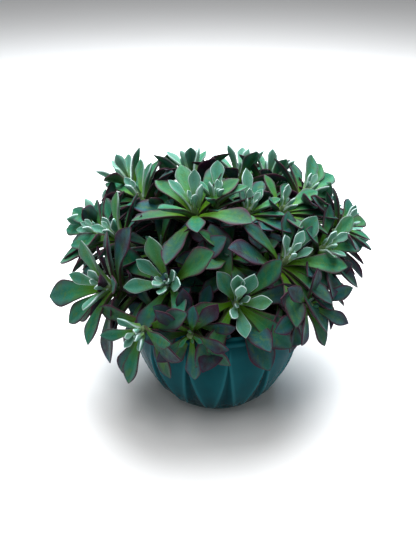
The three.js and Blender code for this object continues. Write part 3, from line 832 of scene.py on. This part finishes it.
def bowl_radius(height):
    """The bowl's outer radius at a height."""
    belly = BELLY * RIM
    if height > belly:
        return POT_RADIUS - NECK_PULL * ((height - belly) / (RIM - belly)) ** 2
    drop = min(max((belly - height) / (belly - FOOT_HEIGHT), 0), 1)
    return blend(BOWL_START, POT_RADIUS, (1 - drop ** BELLY_POWER) ** (1 / BELLY_POWER))


def petal_relief(height, turns):
    """How far the pressed petals stand out, from 0 in the valleys to 1 on the ridges."""
    pitch = 2 * math.pi / PETALS
    off = np.abs((turns - PETAL_TURN + pitch / 2) % pitch - pitch / 2) / (pitch / 2)
    climb = min(max(height / (0.875 * RIM), 0.02), 1)
    edge = min(1.05 * climb ** 0.6, 0.97)
    inside = off < edge
    panel = 0.62 + 0.12 * (off / edge) ** 2
    flank = 0.72 * (1 - (off - edge) / (1 - edge + 1e-6))
    ridge = 0.34 * np.exp(-((off - edge) / 0.075) ** 2)
    return np.clip(np.where(inside, panel, flank) + ridge, 0, 1.1)


def add_pot(skin):
    """The pot as one closed skin: under the foot, up the outside, over the lip and down the inside."""
    turns = np.arange(POT_SIDES) / POT_SIDES * 2 * math.pi
    rings, reliefs, feet = [], [], []

    def ring(radius, height, relief=0.5, foot=0.0):
        rings.append(circle(radius, height, turns))
        reliefs.append(np.broadcast_to(relief, turns.shape))
        feet.append(np.full(POT_SIDES, foot))

    for share in (0.02, 0.5, 0.9):
        ring(FOOT_RADIUS * share, 0.0, foot=1.0)
    ring(FOOT_RADIUS - 1.2 * MM, 0.0, foot=1.0)
    ring(FOOT_RADIUS - 0.3 * MM, 0.35 * MM, foot=1.0)
    ring(FOOT_RADIUS, 1.2 * MM, foot=1.0)
    ring(FOOT_RADIUS + 0.1 * MM, 3.0 * MM, foot=0.8)
    ring(FOOT_RADIUS + 0.5 * MM, FOOT_HEIGHT, foot=0.4)
    ring(BOWL_START - 0.7 * MM, FOOT_HEIGHT + 0.4 * MM)
    band_foot = RIM - BAND
    for i in range(1, BOWL_RINGS + 1):
        height = blend(FOOT_HEIGHT, band_foot, (i / BOWL_RINGS) ** 1.15)
        climbed = height - FOOT_HEIGHT
        relief = petal_relief(height, turns)
        fade = min(1, climbed / (9 * MM)) * min(1, (band_foot - height) / (14 * MM) + 0.05)
        foot_paling = 0.85 * max(0, 1 - climbed / (4.5 * MM))
        radius = bowl_radius(height) + (relief - 0.75) * PETAL_DEPTH * fade
        ring(radius, height, blend(0.5, relief, fade), foot_paling)
    # the relief given to the band and the lip lightens their crests through the glaze's painted ridge
    # highlight
    for i in range(13):
        share = i / 12
        bead = math.sin(math.pi * share) ** 0.6 * BAND_PROUD
        height = band_foot + 0.3 * MM + share * (BAND - LIP)
        ring(bowl_radius(height) + bead, height, 0.35 + 0.4 * math.sin(math.pi * share))
    for i in range(1, 12):
        angle = math.pi * i / 12
        radius = bowl_radius(RIM) - LIP + LIP * math.cos(angle)
        ring(radius, RIM - 2.1 * MM + 2.1 * MM * math.sin(angle), 0.5 + 0.4 * math.sin(angle))
    for i in range(9):
        height = blend(RIM - 4 * MM, FLOOR, i / 8)
        ring(bowl_radius(height) - WALL + 0.5 * MM * (i == 0), height)
    ring(20 * MM, FLOOR)
    ring(1 * MM, FLOOR)
    obj = add_mesh("pot_glazed", np.concatenate(rings), closed_faces(len(rings), POT_SIDES), [skin],
                   {"relief": np.concatenate(reliefs), "foot": np.concatenate(feet)})
    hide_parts("pot")
    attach(obj, "root")


# ------------------------------------------------------------------ the potting mix
SOIL_SIDES = 160
SOIL_RINGS = 60
SOIL_GAP = 0.3 * MM            # between the mix and the pot's wall
UNEVEN = 1.6 * MM
GRIT_COUNT = 420
CUBE = np.array([(x, y, z) for x in (-1, 1) for y in (-1, 1) for z in (-1, 1)], float)
CUBE_FACES = [(0, 1, 3, 2), (4, 6, 7, 5), (0, 4, 5, 1), (2, 3, 7, 6), (0, 2, 6, 4), (1, 5, 7, 3)]


def waves(x, y, seed):
    """A smooth repeatable unevenness between about -1 and 1."""
    total = 0
    for k in range(1, 7):
        turn = 2.399 * (k + seed)
        pitch = 60 * 1.9 ** k
        total = total + np.sin(pitch * (x * math.cos(turn) + y * math.sin(turn)) + 5.1 * k + seed) / 1.5 ** k
    return total / 1.6


def inner_radius(height):
    return bowl_radius(height) - WALL - SOIL_GAP


def add_soil(skin):
    turns = np.arange(SOIL_SIDES) / SOIL_SIDES * 2 * math.pi
    surface = RIM - SOIL_DEPTH
    edge = inner_radius(surface)
    rings = []
    for i in range(8):
        height = blend(10.3 * MM, surface - 1 * MM, i / 7)
        rings.append(circle(inner_radius(height), height, turns))
    for i in range(SOIL_RINGS):
        radius = edge * (1 - i / (SOIL_RINGS - 0.5))
        ring = circle(radius, soil_top(radius), turns)
        calm = min(1, (edge - radius) / (6 * MM))
        ring[:, 2] += calm * UNEVEN * waves(ring[:, 0], ring[:, 1], 3) - 1 * MM * (1 - calm)
        rings.append(ring)
    faces = closed_faces(len(rings), SOIL_SIDES)
    obj = add_mesh("potting_mix_earth", np.concatenate(rings), faces, [skin], {})
    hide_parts("potting_mix")
    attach(obj, "root")


def add_grit(skin):
    """Loose grit and bark lying on the mix."""
    edge = inner_radius(RIM - SOIL_DEPTH)
    vertices, faces, tones = [], [], []
    for k in range(GRIT_COUNT):
        radius = edge * 0.97 * math.sqrt((k + 0.5) / GRIT_COUNT)
        turn = 2.39996 * k + 0.6 * whim(k, 1, 1)
        size = blend(0.9, 2.4, whim(k, 2, 1) ** 2) * MM
        shape = CUBE * (1 + 0.35 * np.sin(CUBE * (3 + k) + k)) * size * np.array([1, 0.7, 0.5])
        x, y = radius * math.cos(turn), radius * math.sin(turn)
        height = soil_top(radius) + UNEVEN * float(waves(np.array(x), np.array(y), 3)) + 0.2 * size
        faces += [tuple(len(vertices) * 8 + v for v in quad) for quad in CUBE_FACES]
        vertices.append(shape @ spin_about_z(6.28 * whim(k, 3, 1)).T + np.array([x, y, height]))
        tones.append(np.full(8, whim(k, 4, 1)))
    grit = add_mesh("potting_mix_grit", np.concatenate(vertices), faces, [skin],
                    {"tone": np.concatenate(tones)})
    rounding = grit.modifiers.new("rounding", "SUBSURF")
    rounding.levels = rounding.render_levels = 1
    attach(grit, "root")


# ------------------------------------------------------------------ build
leaf_skin, stem_skin = leaf_material(), stem_material()
for number, row in enumerate(SHOOTS):
    add_shoot(number, row, leaf_skin, stem_skin)
add_pot(glaze_material())
add_soil(soil_material())
add_grit(grit_material())

bpy.ops.mesh.primitive_plane_add(size=6, location=(0, 0, 0))
floor = bpy.context.object
floor.name = "floor"
floor.data.materials.append(floor_material())
